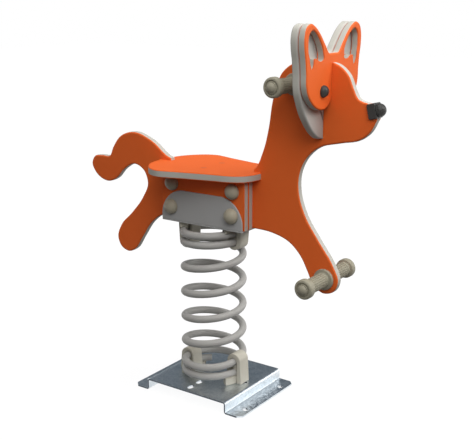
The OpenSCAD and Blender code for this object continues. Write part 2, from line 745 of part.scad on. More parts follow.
module face_layer(x, shares) {
    slot_half = half_t + panel_clear;
    difference() {
        translate([x, 0, 0]) along_x(panel_t) polygon(mirrored_pair(open_curve(face_points(shares))));
        translate([face_back_x - cut, -slot_half, face_place[1] - face_size])
            cube([2 * (panel_t + cut), 2 * slot_half, face_size + panel_clear]);
        translate([face_back_x - cut, 0, 0]) at_eyes()
            cylinder(d = eye_bolt_d + 2 * hole_clear, h = 2 * (panel_t + cut));
    }
}

module face_front() {
    hole = closed_curve(face_points(ear_hole_shares));
    color(orange) difference() {
        face_layer(face_place[0], concat(ear_shares, front_cheek_shares));
        for (side = [0, 1]) mirror([0, side, 0])
            translate([face_place[0] - cut, 0, 0]) along_x(panel_t + 2 * cut) polygon(hole);
    }
}

module face_back() {
    color(sheet_grey) face_layer(face_back_x, concat(ear_shares, back_cheek_shares));
}

module face_bracket_left() {
    low = eye_z - bracket_height / 2;
    color(steel) difference() {
        union() {
            translate([face_back_x - bracket_sheet, half_t, low])
                cube([bracket_sheet, bracket_reach, bracket_height]);
            translate([face_back_x - bracket_leg, half_t, low])
                cube([bracket_leg, bracket_sheet, bracket_height]);
        }
        translate([face_back_x - bracket_sheet - cut, 0, 0]) at_eyes()
            cylinder(d = eye_bolt_d + 2 * hole_clear, h = bracket_sheet + 2 * cut);
        y_rod(eye_bolt_d / 2 + hole_clear, 2 * (panel_t + cut), [bracket_bolt_x, eye_z]);
    }
}

module face_bracket_right() { mirror([0, 1, 0]) face_bracket_left(); }

eye_head_h = eye_bolt_d * hex_height_share;
bracket_face = half_t + bracket_sheet;

module bracket_bolt() {
    color(steel) {
        y_rod(eye_bolt_d / 2, 2 * (bracket_face + eye_head_h), [bracket_bolt_x, eye_z]);
        translate([bracket_bolt_x, bracket_face, eye_z]) rotate([-90, 0, 0]) hexagon(eye_bolt_d, eye_head_h);
    }
}

module bracket_nut() {
    color(steel) translate([bracket_bolt_x, -bracket_face, eye_z]) rotate([90, 0, 0])
        hex_nut(eye_bolt_d, eye_head_h);
}

module eye_bolts() {
    head_x = face_back_x - bracket_sheet - eye_head_h;
    color(steel) translate([head_x, 0, 0]) at_eyes() {
        hexagon(eye_bolt_d, eye_head_h);
        cylinder(d = eye_bolt_d, h = face_front_x - head_x + eye_head_h + rod_stick_out);
    }
}

module eye_nuts() {
    color(steel) translate([face_front_x, 0, 0]) at_eyes() hex_nut(eye_bolt_d, eye_head_h);
}

module eye_caps() {
    color(dark_grey) translate([face_front_x, 0, 0]) at_eyes()
        hollow_dome(eye_cap_d / 2, eye_cap_h, cap_wall, cap_wall);
}

// Nose
module nose_outline() {
    half = [nose_width / 2, nose_height / 2];
    flat = half - [nose_corner_r, nose_corner_r];
    translate([-half[0], -flat[1]]) square([nose_width, 2 * flat[1]]);
    translate([-flat[0], -half[1]]) square([2 * flat[0], nose_height]);
    for (y = [-1, 1], z = [-1, 1]) translate([y * flat[0], z * flat[1]]) circle(r = nose_corner_r);
}

nose_head_h = nose_screw_d * hex_height_share;

module nose_cap() {
    slot_half = half_t + panel_clear;
    color(dark_grey) at_nose() difference() {
        translate([-nose_length / 2, 0, 0]) along_x(nose_length) nose_outline();
        translate([-nose_length, -slot_half, -nose_height])
            cube([3 * nose_length / 2 - nose_wall, 2 * slot_half, 2 * nose_height]);
        translate([0, 0, nose_dome_rise]) rotate([0, 90, 0])
            cylinder(d = nose_screw_d + 2 * hole_clear, h = nose_length);
    }
}

module nose_screw() {
    color(steel) at_nose() translate([nose_length / 2, 0, nose_dome_rise]) rotate([0, 90, 0]) {
        hexagon(nose_screw_d, nose_head_h);
        translate([0, 0, -nose_screw_grip]) cylinder(d = nose_screw_d, h = nose_screw_grip);
    }
}

module nose_dome() {
    color(dark_grey) at_nose() translate([nose_length / 2, 0, nose_dome_rise]) rotate([0, 90, 0])
        hollow_dome(nose_dome_d / 2, nose_dome_h, cap_wall, cap_wall);
}

// Grips: a flanged, ribbed shaft with an end knob, turned about the rod
grip_r = grip_d / 2;
grip_shaft_from = grip_flange_t + grip_neck;
grip_shaft_to = grip_length - grip_knob_l - grip_neck;
grip_rib_pitch = (grip_shaft_to - grip_shaft_from) / grip_ribs;
grip_flange_r = grip_flange_d / 2;
grip_knob_r = grip_knob_d / 2;
grip_ribs_profile = [for (i = [0 : grip_ribs - 1]) let (z = grip_shaft_from + i * grip_rib_pitch)
    each [[grip_r, z], [grip_r + grip_rib_h, z + grip_rib_pitch / 4],
          [grip_r + grip_rib_h, z + grip_rib_pitch / 2], [grip_r, z + 3 * grip_rib_pitch / 4]]];
grip_profile = concat(
    [[rod_d / 2 + hole_clear, 0], [grip_flange_r, 0]],
    arc([grip_flange_r - grip_round, grip_flange_t - grip_round], grip_round, 0, 90),
    arc([grip_r + grip_neck, grip_shaft_from], grip_neck, 270, 180),
    grip_ribs_profile,
    arc([grip_r + grip_neck, grip_shaft_to], grip_neck, 180, 90),
    arc([grip_knob_r - grip_round, grip_length - grip_knob_l + grip_round], grip_round, -90, 0),
    arc([grip_knob_r - grip_round, grip_length - grip_round], grip_round, 0, 90),
    [[grip_cap_r + grip_groove_gap + grip_groove_w, grip_length],
     [grip_cap_r + grip_groove_gap + grip_groove_w, grip_length - grip_groove_depth],
     [grip_cap_r + grip_groove_gap, grip_length - grip_groove_depth],
     [grip_cap_r + grip_groove_gap, grip_length],
     [nut_recess_r, grip_length], [nut_recess_r, grip_length - grip_nut_depth],
     [rod_d / 2 + hole_clear, grip_length - grip_nut_depth]]);

module on_panel_side(side, place, out) {
    translate([place[0], side * out, place[1]]) rotate([-90 * side, 0, 0]) children();
}

module grip_at(side, place) {
    color(moulded_beige) on_panel_side(side, place, half_t) rotate_extrude() polygon(grip_profile);
}

module hand_grip_left() { grip_at(1, hand_place); }
module hand_grip_right() { grip_at(-1, hand_place); }
module foot_grip_left() { grip_at(1, foot_place); }
module foot_grip_right() { grip_at(-1, foot_place); }

rod_nut_h = rod_d * hex_height_share;
grip_nut_out = half_t + grip_length - grip_nut_depth;

module hand_rod() { color(steel) y_rod(rod_d / 2, 2 * (grip_nut_out + rod_nut_h), hand_place); }
module foot_rod() { color(steel) y_rod(rod_d / 2, 2 * (grip_nut_out + rod_nut_h), foot_place); }

module rod_nuts() {
    color(steel) for (place = [hand_place, foot_place], side = [-1, 1])
        on_panel_side(side, place, grip_nut_out) hex_nut(rod_d, rod_nut_h);
}

module grip_caps(place) {
    color(moulded_beige) for (side = [-1, 1]) on_panel_side(side, place, half_t + grip_length)
        hollow_dome(grip_cap_r, grip_cap_h, grip_cap_wall, grip_cap_wall);
}

module hand_grip_caps() { grip_caps(hand_place); }
module foot_grip_caps() { grip_caps(foot_place); }

base_plate();
lower_front_pad();
lower_front_spacer();
lower_front_arch();
lower_rear_pad();
lower_rear_spacer();
lower_rear_arch();
lower_clamp_bolts();
coil_spring();
upper_front_pad();
upper_front_spacer();
upper_front_arch();
upper_rear_pad();
upper_rear_spacer();
upper_rear_arch();
upper_clamp_screws();
saddle_web();
saddle_plate_left();
saddle_plate_right();
body_panel();
inner_side_left();
inner_side_right();
outer_side_left();
outer_side_right();
seat_board();
seat_screws();
upper_stack_rods();
lower_stack_rods();
stack_washers();
stack_nuts();
upper_bolt_caps();
lower_bolt_caps();
face_front();
face_back();
face_bracket_left();
face_bracket_right();
bracket_bolt();
bracket_nut();
eye_bolts();
eye_nuts();
eye_caps();
nose_cap();
nose_screw();
nose_dome();
hand_grip_left();
hand_grip_right();
foot_grip_left();
foot_grip_right();
hand_rod();
foot_rod();
rod_nuts();
hand_grip_caps();
foot_grip_caps();
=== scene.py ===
"""Looks of a playground spring rider: finishes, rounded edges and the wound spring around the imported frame."""

import logging
import math
from dataclasses import dataclass, field
from enum import Enum

import bmesh
import bpy
from mathutils import Matrix, Vector


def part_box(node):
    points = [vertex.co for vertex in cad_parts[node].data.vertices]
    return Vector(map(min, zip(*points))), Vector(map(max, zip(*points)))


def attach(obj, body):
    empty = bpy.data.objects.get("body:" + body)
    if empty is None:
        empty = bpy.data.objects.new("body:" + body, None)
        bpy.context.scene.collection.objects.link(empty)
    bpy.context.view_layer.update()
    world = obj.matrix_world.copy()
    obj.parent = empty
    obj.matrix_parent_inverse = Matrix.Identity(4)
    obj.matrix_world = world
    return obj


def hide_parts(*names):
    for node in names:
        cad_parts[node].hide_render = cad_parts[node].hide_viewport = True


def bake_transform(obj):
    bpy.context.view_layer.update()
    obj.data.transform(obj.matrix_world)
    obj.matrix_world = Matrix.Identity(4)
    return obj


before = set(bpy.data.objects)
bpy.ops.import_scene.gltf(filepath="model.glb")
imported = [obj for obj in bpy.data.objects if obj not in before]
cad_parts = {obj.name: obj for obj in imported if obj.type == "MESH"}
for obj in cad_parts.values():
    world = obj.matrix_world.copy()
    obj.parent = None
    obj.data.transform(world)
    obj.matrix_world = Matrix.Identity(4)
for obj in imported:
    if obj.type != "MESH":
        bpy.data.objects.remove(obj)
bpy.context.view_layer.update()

LOG = logging.getLogger("spring_rider")
MM = 0.001
Tree = bpy.types.NodeTree
Socket = bpy.types.NodeSocket
# Linear red, green, blue and alpha
Colour = tuple[float, float, float, float]
# Radius, height and corner radius of a corner of a turned profile, in millimetres
Corner = tuple[float, float, float]
WHITE: Colour = (1.0, 1.0, 1.0, 1.0)
BASE, SPRING, RIDER = "base", "spring", "rider"
# Holes up to this size keep their sharp rims
HOLE_REACH = 30 * MM
# Corners and faces of the CAD meshes that are closer or flatter than this are merged
WELD_GAP = 0.02 * MM
FLAT_DEG = 0.4
# Edges that turn by more than this are rounded
EDGE_DEG = 40.0
# Edges that turn by more than this stay sharp in the shading
CAD_SHARP_DEG, TURNED_SHARP_DEG, ROUTED_SHARP_DEG = 32.0, 40.0, 50.0
# Faces whose normal has more than this share along Y look to a side of the figure
SIDE_SHARE = 0.95
# Steps of a rounded corner of a turned profile, and the gap at which its points are merged
CORNER_STEPS = 4
TURNED_WELD = 0.01 * MM


class Axis(Enum):
    """Row axis across a sheet, as the output of a Separate XYZ node."""

    X = 0
    Y = 1
    Z = 2


class Side(Enum):
    """Side of the body panel, as the sign of Y."""

    LEFT = 1
    RIGHT = -1


def linear(hex_colour: str) -> Colour:
    """Turns an sRGB hex colour to linear light.

    Args:
        hex_colour: Six hex digits, red first.

    Returns:
        Linear red, green, blue and an alpha of 1.
    """
    parts = [int(hex_colour[i:i + 2], 16) / 255 for i in (0, 2, 4)]
    red, green, blue = (c / 12.92 if c <= 0.04045 else ((c + 0.055) / 1.055) ** 2.4 for c in parts)
    return red, green, blue, 1.0


def per_metre(size_mm: float) -> float:
    """Texture scale, in cells for each metre, of a pattern with cells of a size in millimetres."""
    return 1 / (size_mm * MM)


def centre_of(node: str) -> Vector:
    """Middle of a CAD node's box."""
    low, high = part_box(node)
    return (low + high) / 2


def add_node(tree: Tree, kind: str, inputs: dict | None = None, **settings: object) -> bpy.types.Node:
    """Adds one node to a tree.

    Args:
        tree: Node tree of a material or of the world.
        kind: Node type.
        inputs: Socket name or number to a value, or to the output socket that feeds it.
        settings: Attributes of the node.

    Returns:
        The new node.
    """
    node = tree.nodes.new(kind)
    for name, value in settings.items():
        setattr(node, name, value)
    for key, value in (inputs or {}).items():
        if isinstance(value, Socket):
            tree.links.new(value, node.inputs[key])
        else:
            node.inputs[key].default_value = value
    return node


def math_node(tree: Tree, operation: str, *values: float | Socket) -> Socket:
    """Adds a Math node on values or sockets, and gives its result."""
    return add_node(tree, "ShaderNodeMath", dict(enumerate(values)), operation=operation).outputs[0]


def noise(tree: Tree, place: Socket, size_mm: float, detail: float) -> Socket:
    """Adds a noise with spots of a size in millimetres, and gives its strength."""
    inputs = {"Vector": place, "Scale": per_metre(size_mm), "Detail": detail}
    return add_node(tree, "ShaderNodeTexNoise", inputs).outputs["Fac"]


def mixed(tree: Tree, share: Socket, first: str | Colour | Socket, second: str | Colour | Socket) -> Socket:
    """Adds a mix of two colours.

    Args:
        tree: Node tree of a material or of the world.
        share: Share of the second colour.
        first: Hex colour, linear colour or a socket with a colour.
        second: Hex colour, linear colour or a socket with a colour.

    Returns:
        The mixed colour.
    """
    first, second = (linear(colour) if isinstance(colour, str) else colour for colour in (first, second))
    return add_node(tree, "ShaderNodeMix", {0: share, 6: first, 7: second}, data_type="RGBA").outputs[2]


def ranged(tree: Tree, value: Socket, low: float, high: float, start: float = 0.0, stop: float = 1.0,
           **settings: object) -> Socket:
    """Adds a node that maps a value to a range.

    Args:
        tree: Node tree of a material or of the world.
        value: Value to map.
        low: Result at the start.
        high: Result at the stop.
        start: Value where the range starts.
        stop: Value where the range stops.
        settings: Attributes of the node.

    Returns:
        The mapped value.
    """
    inputs = {"Value": value, "From Min": start, "From Max": stop, "To Min": low, "To Max": high}
    return add_node(tree, "ShaderNodeMapRange", inputs, **settings).outputs[0]


def bumped(tree: Tree, height: Socket, strength: float, distance: float) -> Socket:
    """Adds a bump, and gives the normal that it turns."""
    inputs = {"Height": height, "Strength": strength, "Distance": distance}
    return add_node(tree, "ShaderNodeBump", inputs).outputs[0]


def new_material(name: str) -> tuple[bpy.types.Material, Tree, Socket]:
    """Starts an empty material.

    Args:
        name: Name of the finish.

    Returns:
        The material, its node tree and the Object coordinates.
    """
    material = bpy.data.materials.new(name)
    material.use_nodes = True
    tree = material.node_tree
    tree.nodes.clear()
    return material, tree, add_node(tree, "ShaderNodeTexCoord").outputs["Object"]


def close_material(tree: Tree, shader: bpy.types.Node) -> None:
    """Joins a shader to the material's output."""
    add_node(tree, "ShaderNodeOutputMaterial", {"Surface": shader.outputs[0]})


@dataclass(frozen=True)
class MouldedPlastic:
    """Injection-moulded polyamide or polyethylene: one faintly cloudy colour with a fine spark-eroded grain."""

    name: str
    colour: str
    cloud: str
    roughness: float
    gloss: float = 0.18
    cloud_mm: float = 38.0
    grain_mm: float = 2.2
    grain_depth: float = 0.12
    grain_height: float = 0.4 * MM
    rough_spread: float = 0.06
    ior: float = 1.5

    def build(self) -> bpy.types.Material:
        """Makes the material."""
        material, tree, place = new_material(self.name)
        # The real grain is under a millimetre: it is drawn coarser so that it shows
        grain = noise(tree, place, self.grain_mm, 2.0)
        low, high = self.roughness - self.rough_spread, self.roughness + self.rough_spread
        shader = add_node(tree, "ShaderNodeBsdfPrincipled", {
            "Base Color": mixed(tree, noise(tree, place, self.cloud_mm, 3.0), self.colour, self.cloud),
            "Roughness": ranged(tree, grain, low, high),
            "Normal": bumped(tree, grain, self.grain_depth, self.grain_height),
            "IOR": self.ior, "Specular IOR Level": self.gloss})
        close_material(tree, shader)
        return material


@dataclass(frozen=True)
class LayeredSheet:
    """Pressed high-density polyethylene: grained coloured skins over a core that shows on the routed edges."""

    name: str
    skin: str
    skin_cloud: str
    core: str
    core_cloud: str
    axis: Axis
    middle: float
    thickness: float = 19 * MM
    skin_t: float = 2.7 * MM
    wander_mm: float = 14.0
    wander: float = 0.5 * MM
    joint_blur: float = 0.12 * MM
    cloud_mm: float = 60.0
    grain_mm: float = 2.2
    grain_depth: float = 0.16
    grain_height: float = 0.3 * MM
    rough_low: float = 0.58
    rough_high: float = 0.70
    ior: float = 1.54
    gloss: float = 0.22

    def layer(self, tree: Tree, place: Socket) -> Socket:
        """One in the skins and zero in the core, read from the depth in the sheet."""
        across = add_node(tree, "ShaderNodeSeparateXYZ", {0: place}).outputs[self.axis.value]
        half = self.thickness / 2
        depth = math_node(tree, "PINGPONG", math_node(tree, "SUBTRACT", across, self.middle), half)
        # The pressed joint between skin and core wanders by a fraction of a millimetre
        joint = math_node(tree, "MULTIPLY_ADD", noise(tree, place, self.wander_mm, 2.0), self.wander,
                          half - self.skin_t - self.wander / 2)
        past = math_node(tree, "SUBTRACT", depth, joint)
        return ranged(tree, past, 0.0, 1.0, -self.joint_blur, self.joint_blur)

    def build(self) -> bpy.types.Material:
        """Makes the material."""
        material, tree, place = new_material(self.name)
        clouds = noise(tree, place, self.cloud_mm, 4.0)
        skin = mixed(tree, clouds, self.skin, self.skin_cloud)
        core = mixed(tree, clouds, self.core, self.core_cloud)
        # The rolled grain of the skin is about a millimetre: it is drawn at twice that so that it shows
        grain = add_node(tree, "ShaderNodeTexVoronoi", {"Vector": place, "Scale": per_metre(self.grain_mm)},
                         feature="SMOOTH_F1").outputs["Distance"]
        shader = add_node(tree, "ShaderNodeBsdfPrincipled", {
            "Base Color": mixed(tree, self.layer(tree, place), core, skin),
            "Roughness": ranged(tree, grain, self.rough_low, self.rough_high),
            "Normal": bumped(tree, grain, self.grain_depth, self.grain_height),
            "IOR": self.ior, "Specular IOR Level": self.gloss})
        close_material(tree, shader)
        return material


@dataclass(frozen=True)
class PowderCoat:
    """Steel under baked powder coat: satin, with the slight orange peel of the melted powder."""

    name: str
    colour: str
    cloud: str
    roughness: float = 0.42
    cloud_mm: float = 45.0
    peel_mm: float = 3.5
    peel_depth: float = 0.10
    peel_height: float = 0.3 * MM
    rough_spread: float = 0.05
    ior: float = 1.5
    gloss: float = 0.22

    def build(self) -> bpy.types.Material:
        """Makes the material."""
        material, tree, place = new_material(self.name)
        peel = noise(tree, place, self.peel_mm, 1.5)
        low, high = self.roughness - self.rough_spread, self.roughness + self.rough_spread
        shader = add_node(tree, "ShaderNodeBsdfPrincipled", {
            "Base Color": mixed(tree, noise(tree, place, self.cloud_mm, 3.0), self.colour, self.cloud),
            "Roughness": ranged(tree, peel, low, high),
            "Normal": bumped(tree, peel, self.peel_depth, self.peel_height),
            "IOR": self.ior, "Specular IOR Level": self.gloss})
        close_material(tree, shader)
        return material


@dataclass(frozen=True)
class Galvanised:
    """Hot-dip galvanised sheet: bluish zinc crystals, each with its own shade, gloss and lean."""

    name: str
    dark: str
    light: str
    spangle_mm: float = 11.0
    fine_mm: float = 11.0 / 3
    fine_share: float = 0.60
    lean: float = 0.15
    warp_mm: float = 9.0
    warp: float = 4 * MM
    rough_low: float = 0.28
    rough_high: float = 0.40

    def build(self) -> bpy.types.Material:
        """Makes the material."""
        material, tree, place = new_material(self.name)
        waves = add_node(tree, "ShaderNodeTexNoise",
                         {"Vector": place, "Scale": per_metre(self.warp_mm), "Detail": 2.0}).outputs["Color"]
        bent = add_node(tree, "ShaderNodeVectorMath", {0: waves, 1: (self.warp,) * 3, 2: place},
                        operation="MULTIPLY_ADD").outputs[0]
        coarse, fine = (add_node(tree, "ShaderNodeTexVoronoi",
                                 {"Vector": bent, "Scale": per_metre(size_mm)}).outputs["Color"]
                        for size_mm in (self.spangle_mm, self.fine_mm))
        crystal = add_node(tree, "ShaderNodeMix", {0: self.fine_share, 2: coarse, 3: fine},
                           data_type="FLOAT").outputs[0]
        # Each fine crystal leans its own way
        centred = add_node(tree, "ShaderNodeVectorMath", {0: fine, 1: (0.5,) * 3},
                           operation="SUBTRACT").outputs[0]
        face = add_node(tree, "ShaderNodeNewGeometry").outputs["Normal"]
        leaning = add_node(tree, "ShaderNodeVectorMath", {0: centred, 1: (self.lean,) * 3, 2: face},
                           operation="MULTIPLY_ADD").outputs[0]
        normal = add_node(tree, "ShaderNodeVectorMath", {0: leaning}, operation="NORMALIZE").outputs[0]
        shader = add_node(tree, "ShaderNodeBsdfPrincipled", {
            "Base Color": mixed(tree, crystal, self.dark, self.light), "Metallic": 1.0,
            "Roughness": ranged(tree, crystal, self.rough_low, self.rough_high), "Normal": normal})
        close_material(tree, shader)
        return material


@dataclass(frozen=True)
class PlatedSteel:
    """Zinc-plated steel of the fasteners: pale metal with fine turning marks."""

    name: str
    dark: str
    light: str
    mark_mm: float = 1.5
    rough_low: float = 0.28
    rough_high: float = 0.42

    def build(self) -> bpy.types.Material:
        """Makes the material."""
        material, tree, place = new_material(self.name)
        marks = noise(tree, place, self.mark_mm, 3.0)
        shader = add_node(tree, "ShaderNodeBsdfPrincipled", {
            "Base Color": mixed(tree, marks, self.dark, self.light), "Metallic": 1.0,
            "Roughness": ranged(tree, marks, self.rough_low, self.rough_high)})
        close_material(tree, shader)
        return material


Finish = MouldedPlastic | LayeredSheet | PowderCoat | Galvanised | PlatedSteel

ORANGE = ("EC6A2B", "E66627")
CORE = ("BFBCB3", "B8B5AC")
BODY_SHEET = LayeredSheet("three_layer_polyethylene_upright", *ORANGE, *CORE, Axis.Y, 0.0)
SEAT_SHEET = LayeredSheet("three_layer_polyethylene_level", *ORANGE, *CORE, Axis.Z, centre_of("seat_board").z)
FACE_SHEET = LayeredSheet("three_layer_polyethylene_cross", *ORANGE, *CORE, Axis.X, centre_of("face_front").x)
BACK_SHEET = LayeredSheet("grey_polyethylene_cross", "BAB8B2", "B4B2AC", "C4C2B9", "BDBBB2", Axis.X,
                          centre_of("face_back").x)
CLAMP_NYLON = MouldedPlastic("beige_moulded_polyamide", "CEC9BB", "C7C2B4", 0.50)
GRIP_PLASTIC = MouldedPlastic("stone_grey_moulded_polyethylene", "9F9A88", "989381", 0.46)
CAP_NYLON = MouldedPlastic("grey_moulded_nylon", "AEA794", "A7A08D", 0.42)
DARK_NYLON = MouldedPlastic("charcoal_moulded_nylon", "353432", "302F2D", 0.42, 0.30, grain_depth=0.05)
SPRING_COAT = PowderCoat("grey_powder_coat_on_spring_wire", "B6B4B0", "AFADA9", 0.44)
BRACKET_COAT = PowderCoat("slate_powder_coat_on_plate", "B2B2B1", "ACACAB", 0.50)
ZINC = Galvanised("hot_dip_galvanised_sheet", "C6CFD6", "EFF4F7")
PLATED = PlatedSteel("zinc_plated_steel", "A9ABAD", "C6C8CA")
# Sheared ends of the base plate: real cut edges, coloured nearly black as painted shade
SHEARED_ENDS_IN_PAINTED_SHADE = PlatedSteel("sheared_edge_of_galvanised_sheet", "4A5057", "5C636A")
SCREW_COAT = PowderCoat("orange_coat_on_screw_heads", "D9612A", "D25C27", 0.5)

MADE: dict[str, bpy.types.Material] = {}


def finish_of(finish: Finish) -> bpy.types.Material:
    """The material of a finish, made once."""
    if finish.name not in MADE:
        MADE[finish.name] = finish.build()
    return MADE[finish.name]


def object_from(bm: bmesh.types.BMesh, name: str, finish: Finish) -> bpy.types.Object:
    """Puts a finished bmesh into the scene as an object at the origin.

    Args:
        bm: Mesh in the row frame. It is freed.
        name: Name of the piece.
        finish: Finish of its surface.

    Returns:
        The new object.
    """
    mesh = bpy.data.meshes.new(name)
    bm.to_mesh(mesh)
    bm.free()
    mesh.materials.append(finish_of(finish))
    piece = bpy.data.objects.new(name, mesh)
    bpy.context.scene.collection.objects.link(piece)
    return piece


def shade(bm: bmesh.types.BMesh, sharp_deg: float = CAD_SHARP_DEG) -> None:
    """Shades a mesh smooth, apart from edges that turn by more than an angle."""
    for face in bm.faces:
        face.smooth = True
    for edge in bm.edges:
        edge.smooth = len(edge.link_faces) == 2 and edge.calc_face_angle() < math.radians(sharp_deg)


def place_piece(piece: bpy.types.Object, body: str, slot: str, *nodes: str) -> None:
    """Makes a piece ride on a body, in the stead of CAD nodes."""
    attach(piece, body)
    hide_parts(*nodes)
    LOG.info("%s rides on %s for %s", piece.name, body, ", ".join(nodes))


def reach_of(chain: list[bmesh.types.BMEdge]) -> float:
    """Largest side of the box around a chain of edges, in metres."""
    spots = [vert.co for edge in chain for vert in edge.verts]
    return max(max(spot[i] for spot in spots) - min(spot[i] for spot in spots) for i in range(3))


def chains_of(left: set[bmesh.types.BMEdge]) -> list[list[bmesh.types.BMEdge]]:
    """Gathers edges into chains that hang together.

    Args:
        left: Edges to gather. The set is emptied.

    Returns:
        The chains, each a list of edges.
    """
    chains = []
    while left:
        chain, ahead = [], [left.pop()]
        while ahead:
            edge = ahead.pop()
            chain.append(edge)
            near = {e for vert in edge.verts for e in vert.link_edges} & left
            left -= near
            ahead += near
        chains.append(chain)
    return chains


def copy_of(node: str) -> bmesh.types.BMesh:
    """Mesh of a CAD node with its flat faces merged."""
    bm = bmesh.new()
    bm.from_mesh(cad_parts[node].data)
    bmesh.ops.remove_doubles(bm, verts=bm.verts, dist=WELD_GAP)
    bmesh.ops.dissolve_limit(bm, angle_limit=math.radians(FLAT_DEG), use_dissolve_boundaries=False,
                             verts=bm.verts, edges=bm.edges)
    return bm


def rounded_copy(node: str, name: str, finish: Finish, radius: float, segments: int = 3,
                 ends: Finish | None = None) -> bpy.types.Object:
    """Copies a CAD node with rounded edges, apart from the rims of its bolt holes.

    Args:
        node: CAD node.
        name: Name of the piece.
        finish: Finish of its surface.
        radius: Edge radius in metres.
        segments: Steps of the rounding.
        ends: Finish of the faces that look to the sides of the figure, where it differs.

    Returns:
        The new object, which isn't placed on a body yet.
    """
    bm = copy_of(node)
    shade(bm)
    layer = bm.edges.layers.float.new("bevel_weight_edge")
    sharp = {e for e in bm.edges if len(e.link_faces) == 2 and e.calc_face_angle() > math.radians(EDGE_DEG)}
    for chain in chains_of(sharp):
        if reach_of(chain) > HOLE_REACH:
            for edge in chain:
                edge[layer] = 1.0
    if ends:
        for face in bm.faces:
            face.material_index = int(abs(face.normal.y) > SIDE_SHARE)
    piece = object_from(bm, name, finish)
    if ends:
        piece.data.materials.append(finish_of(ends))
    rounding = piece.modifiers.new("edge rounding", "BEVEL")
    rounding.width, rounding.segments = radius, segments
    rounding.limit_method, rounding.harden_normals = "WEIGHT", True
    rounding.use_clamp_overlap, rounding.loop_slide = False, False
    return piece


@dataclass
class RoutedSheets:
    """Panels routed from sheet: the round-over of the outline runs out where another panel sits in a slot."""

    slot: str
    finish: LayeredSheet
    radius: float
    nodes: tuple[str, ...]
    joints: tuple[tuple[Vector, Vector], ...] = ()
    segments: int = 4
    run_out: float = 0.6
    broken: float = 0.4 * MM
    # Least share of a step that counts at a sharp corner, so that the step stays short
    corner_share: float = 0.35
    # Faces that count as a flat side: share of the normal along it, and distance from its level
    flat_share: float = 0.99
    flat_gap: float = 0.05 * MM

    def round_over(self, spot: Vector) -> float:
        """Radius of the round-over at a place on the outline, less near a joint."""
        gaps = (Vector(max(low[i] - spot[i], 0.0, spot[i] - high[i]) for i in range(3)).length
                for low, high in self.joints)
        return min([self.radius] + [self.broken + self.run_out * gap for gap in gaps])

    def inward(self, walls: list[Vector]) -> Vector:
        """Step that moves a corner of the outline inwards by one from each of its walls.

        Args:
            walls: Inward unit normals of the walls on both sides of the corner.

        Returns:
            The step, which is longer than one at a sharp corner.
        """
        way = sum(walls, Vector()).normalized()
        return way / max(self.corner_share, min(way.dot(wall) for wall in walls))

    def round_side(self, bm: bmesh.types.BMesh, up: Vector) -> None:
        """Rounds the rim of one flat side and fills the side again.

        Args:
            bm: Mesh of the panel.
            up: Outward normal of the side.
        """
        level = max(vert.co.dot(up) for vert in bm.verts)
        flat = {f for f in bm.faces if f.normal.dot(up) > self.flat_share
                and level - f.calc_center_median().dot(up) < self.flat_gap}
        rims = {e for e in bm.edges if len(flat & set(e.link_faces)) == 1}
        walls: dict[bmesh.types.BMVert, list[Vector]] = {}
        for edge in rims:
            wall = next(f for f in edge.link_faces if f not in flat).normal
            for vert in edge.verts:
                walls.setdefault(vert, []).append((up * wall.dot(up) - wall).normalized())
        chains = chains_of(set(rims))
        outline = [e for chain in chains if reach_of(chain) > HOLE_REACH for e in chain]
        holes = [e for chain in chains if reach_of(chain) <= HOLE_REACH for e in chain]
        bmesh.ops.delete(bm, geom=list(flat), context="FACES")
        rim = {vert: (vert.co.copy(), self.round_over(vert.co)) for edge in outline for vert in edge.verts}
        step = {vert: self.inward(walls[vert]) for vert in rim}
        for vert, (spot, size) in rim.items():
            vert.co = spot - up * size
        ring = outline
        for i in range(1, self.segments + 1):
            turn = math.pi / 2 * i / self.segments
            made = bmesh.ops.extrude_edge_only(bm, edges=ring)["geom"]
            fresh = {item for item in made if isinstance(item, bmesh.types.BMVert)}
            ring = [item for item in made
                    if isinstance(item, bmesh.types.BMEdge) and fresh.issuperset(item.verts)]
            above = {}
            for old in rim:
                above[old] = next(v for v in (e.other_vert(old) for e in old.link_edges) if v in fresh)
            rim = {above[old]: data for old, data in rim.items()}
            step = {above[old]: way for old, way in step.items()}
            for vert, (spot, size) in rim.items():
                vert.co = spot + step[vert] * size * (1 - math.cos(turn)) - up * size * (1 - math.sin(turn))
        bmesh.ops.triangle_fill(bm, use_beauty=True, use_dissolve=True, edges=ring + holes, normal=up)

    def build(self) -> None:
        """Copies, rounds, finishes and places each panel."""
        up = Vector()
        up[self.finish.axis.value] = 1.0
        for node in self.nodes:
            bm = copy_of(node)
            self.round_side(bm, up)
            self.round_side(bm, -up)
            bmesh.ops.recalc_face_normals(bm, faces=bm.faces)
            shade(bm, ROUTED_SHARP_DEG)
            piece = object_from(bm, node + "_routed", self.finish)
            piece.modifiers.new("even shading", "WEIGHTED_NORMAL").keep_sharp = True
            place_piece(piece, RIDER, self.slot, node)


def turned(profile: list[Corner], steps: int = 56) -> bmesh.types.BMesh:
    """Turns a profile about Z.

    Args:
        profile: Corners from the foot to the top.
        steps: Steps of the full turn.

    Returns:
        The turned mesh, in metres.
    """
    bm = bmesh.new()
    corners = [bm.verts.new((r * MM, 0, z * MM)) for r, z, _ in profile]
    for a, b in zip(corners, corners[1:]):
        bm.edges.new((a, b))
    for corner, (_, _, soft) in zip(corners, profile):
        if soft:
            bmesh.ops.bevel(bm, geom=[corner], offset=soft * MM, offset_type="OFFSET", affect="VERTICES",
                            segments=CORNER_STEPS, profile=0.5, material=-1)
    bmesh.ops.spin(bm, geom=bm.verts[:] + bm.edges[:], cent=(0, 0, 0), axis=(0, 0, 1), angle=math.tau,
                   steps=steps, use_merge=True)
    bmesh.ops.remove_doubles(bm, verts=bm.verts, dist=TURNED_WELD)
    bmesh.ops.recalc_face_normals(bm, faces=bm.faces)
    shade(bm, TURNED_SHARP_DEG)
    return bm


